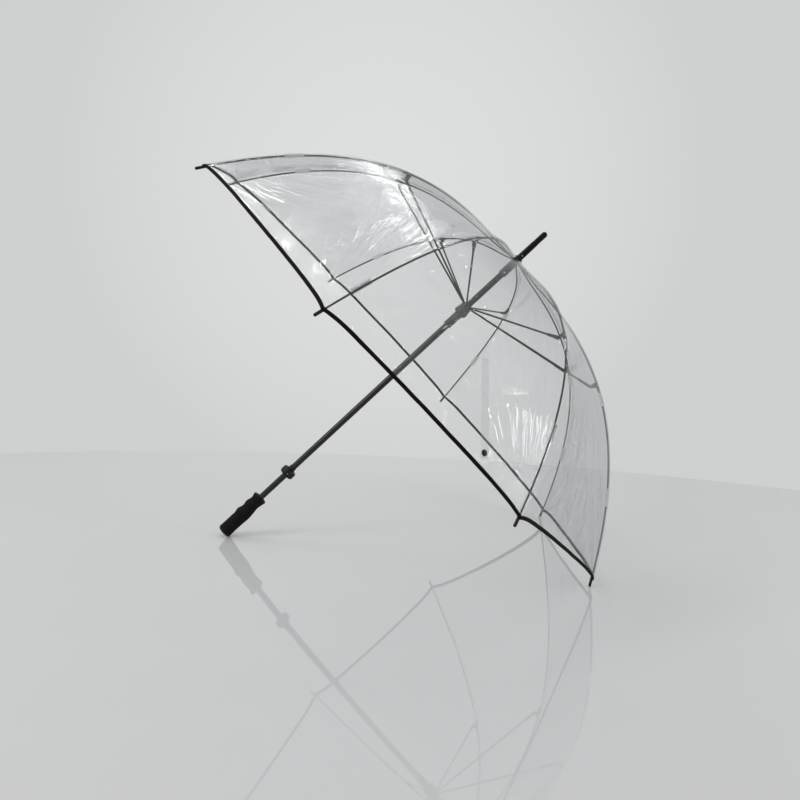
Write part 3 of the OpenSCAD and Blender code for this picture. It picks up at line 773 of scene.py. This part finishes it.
class UMBRELLA_OT_tabs(bpy.types.Operator):
    """Builds the milky vinyl tabs that wrap each rib and hold the film to it"""
    bl_idname = "umbrella.tabs"
    bl_label = "Rib tabs"

    def execute(self, context):
        c, f = context.scene.umbrella_canopy, context.scene.umbrella_frame
        for k in range(1, RIBS + 1):
            near, far = TAB_PLACES
            for number, place in enumerate((near, LOW_TAB_PLACE if k == LOW_TAB_RIB else far), 1):
                self.tab(c, f, k, number, place * c.hem_radius)
        return {"FINISHED"}

    def tab(self, c, f, k, number, middle):
        """A flat tube about the rib, welded to the film along both its edges."""
        wall, under_film, round_rib = 0.0004, 0.0003, 0.0009
        half_w = c.tab_width / 2
        # The dome slopes where the tabs are, so they cover less of the radius than their length
        half_reach = c.tab_length / 2 * 0.86
        ceiling = c.film_gap - under_film
        bow = f.rib_radius + round_rib

        def skin(u, v):
            # u runs once round the wall: out along its lower face and back along its upper one
            lower = u < 0.5
            x = (4 * u - 1 if lower else 3 - 4 * u) * half_w
            swell = math.exp(-(x / (1.25 * bow)) ** 4)
            drop = ceiling - (ceiling + bow) * swell - (wall if lower else 0.0)
            middle_line, normal = rib_frame(c, f, middle + (2 * v - 1) * half_reach)
            spot = middle_line + drop * normal
            return Vector((spot.x, x, spot.y))

        bm = mapped_grid(48, 14, skin, closed=True, capped=True)
        piece = finish_piece(f"Rib_Tab_{k}_{number}", bm, at_rib(k), finish_named("Milky_Vinyl"),
                             f"outer_rib_{k}", crisp=50)


class UMBRELLA_OT_strap(bpy.types.Operator):
    """Builds the clear closure strap and its two press studs"""
    bl_idname = "umbrella.strap"
    bl_label = "Strap and studs"

    # The strap hangs straight down the film of rib 7, on its side towards rib 6. Places on it
    # are a share of the way to rib 6 and a radius, and `across` turns metres to such a pair.
    rib = 7
    top, low = Vector((0.455, 0.519)), Vector((0.232, 0.608))
    across = Vector((1.96, 0.334))
    # Name, place, radius and finish of the two halves of the press stud
    studs = (("Press_Stud", Vector((0.245, 0.604)), 0.006, "Moulded_Nylon"),
             ("Stud_Socket", Vector((0.37, 0.556)), 0.0045, "Milky_Vinyl"))
    off_film = 0.0003

    def execute(self, context):
        c, f = context.scene.umbrella_canopy, context.scene.umbrella_frame
        half_w, half_t = c.strap_width / 2, c.strap_thickness / 2

        def skin(u, v):
            turn = math.tau * u
            wide = boxed(math.cos(turn), 0.25) * half_w
            thick = boxed(math.sin(turn), 0.6) * half_t
            spot = self.top.lerp(self.low, v) + wide * self.across
            return film_point(c, f, self.rib, -spot.x, spot.y, half_t + self.off_film + thick)

        bm = mapped_grid(24, 48, skin, closed=True, capped=True)
        strap = finish_piece("Closure_Strap", bm, at_rib(self.rib), finish_named("Welded_Vinyl"),
                             f"outer_rib_{self.rib}")
        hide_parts("closure_strap")
        flatten(strap)
        for stud in self.studs:
            self.stud(c, f, *stud)
        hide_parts("press_stud")
        ends = [film_point(c, f, self.rib, -spot.x, spot.y) for spot in (self.top, self.low)]
        return {"FINISHED"}

    def stud(self, c, f, name, place, radius, finish):
        """A flat cap with a raised button in its middle, its rims rounded."""
        above_strap = 0.0004
        foot = film_point(c, f, self.rib, -place.x, place.y, c.strap_thickness + above_strap)
        out = (film_point(c, f, self.rib, -place.x, place.y, 0.01) - foot).normalized()
        bm = bmesh.new()
        for share_of_radius, high in ((1.0, 0.0012), (0.6, 0.0022)):
            wide = radius * share_of_radius
            made = bmesh.ops.create_cone(bm, cap_ends=True, segments=48, radius1=wide,
                                         radius2=wide * 0.9, depth=high)
            bmesh.ops.translate(bm, verts=made["verts"], vec=(0, 0, high / 2))
        rims = [e for e in bm.edges if e.calc_face_angle(0) > 1 and e.verts[0].co.z > 0.001]
        bmesh.ops.bevel(bm, geom=rims, offset=0.0003, segments=2, profile=0.5, affect="EDGES",
                        material=-1)
        seat = Matrix.Translation(foot) @ out.to_track_quat("Z", "Y").to_matrix().to_4x4()
        piece = finish_piece(name, bm, at_rib(self.rib) @ seat, finish_named(finish),
                             f"outer_rib_{self.rib}", crisp=35)
        flatten(piece)


class UMBRELLA_PT_panel(bpy.types.Panel):
    bl_label = "Clear Dome Umbrella"
    bl_idname = "UMBRELLA_PT_panel"
    bl_space_type = "VIEW_3D"
    bl_region_type = "UI"
    bl_category = "Umbrella"

    def draw(self, context):
        for operator in OPERATORS:
            self.layout.operator(operator.bl_idname)


OPERATORS = (UMBRELLA_OT_stage, UMBRELLA_OT_fittings, UMBRELLA_OT_grip, UMBRELLA_OT_film,
             UMBRELLA_OT_hem, UMBRELLA_OT_tabs, UMBRELLA_OT_strap)
GROUPS = {"umbrella_canopy": CanopySizes, "umbrella_frame": FrameSizes, "umbrella_grip": GripSizes,
          "umbrella_finishes": Finishes, "umbrella_studio": StudioSizes}


def register():
    for cls in (*GROUPS.values(), *OPERATORS, UMBRELLA_PT_panel):
        bpy.utils.register_class(cls)
    for name, group in GROUPS.items():
        setattr(bpy.types.Scene, name, PointerProperty(type=group))


def unregister():
    for name in GROUPS:
        delattr(bpy.types.Scene, name)
    for cls in reversed((*GROUPS.values(), *OPERATORS, UMBRELLA_PT_panel)):
        bpy.utils.unregister_class(cls)


def main():
    register()
    for operator in OPERATORS:
        group, name = operator.bl_idname.split(".")
        getattr(getattr(bpy.ops, group), name)()


if __name__ == "__main__":
    main()
